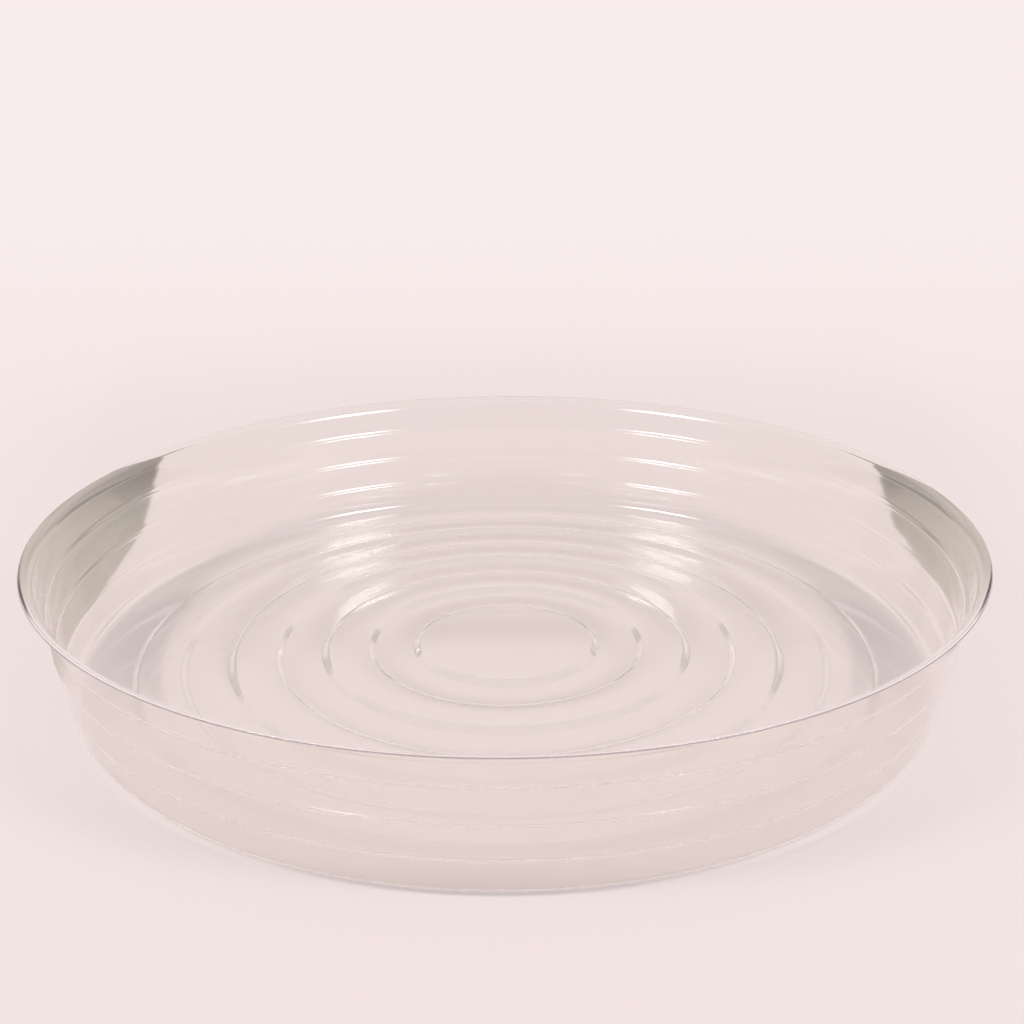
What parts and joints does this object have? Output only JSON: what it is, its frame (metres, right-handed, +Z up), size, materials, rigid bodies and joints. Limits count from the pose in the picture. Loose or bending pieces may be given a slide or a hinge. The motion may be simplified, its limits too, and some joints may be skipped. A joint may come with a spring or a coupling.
{
  "type": "plant saucer",
  "caption": "Round clear plant saucer: a thin formed sheet with concentric floor rings, a stepped side wall and a flared rim, holding a pot and its drained water.",
  "frame": {"origin": "on the ground at the centre of the saucer", "axes": "+Z up along the saucer's axis of revolution; X and Y lie in the ground plane"},
  "size_m": [0.356, 0.356, 0.0532],
  "materials": {
    "clear_sheet": "clear gloss"
  },
  "bodies": {
    "root": {"saucer": "clear_sheet"}
  },
  "joints": []
}
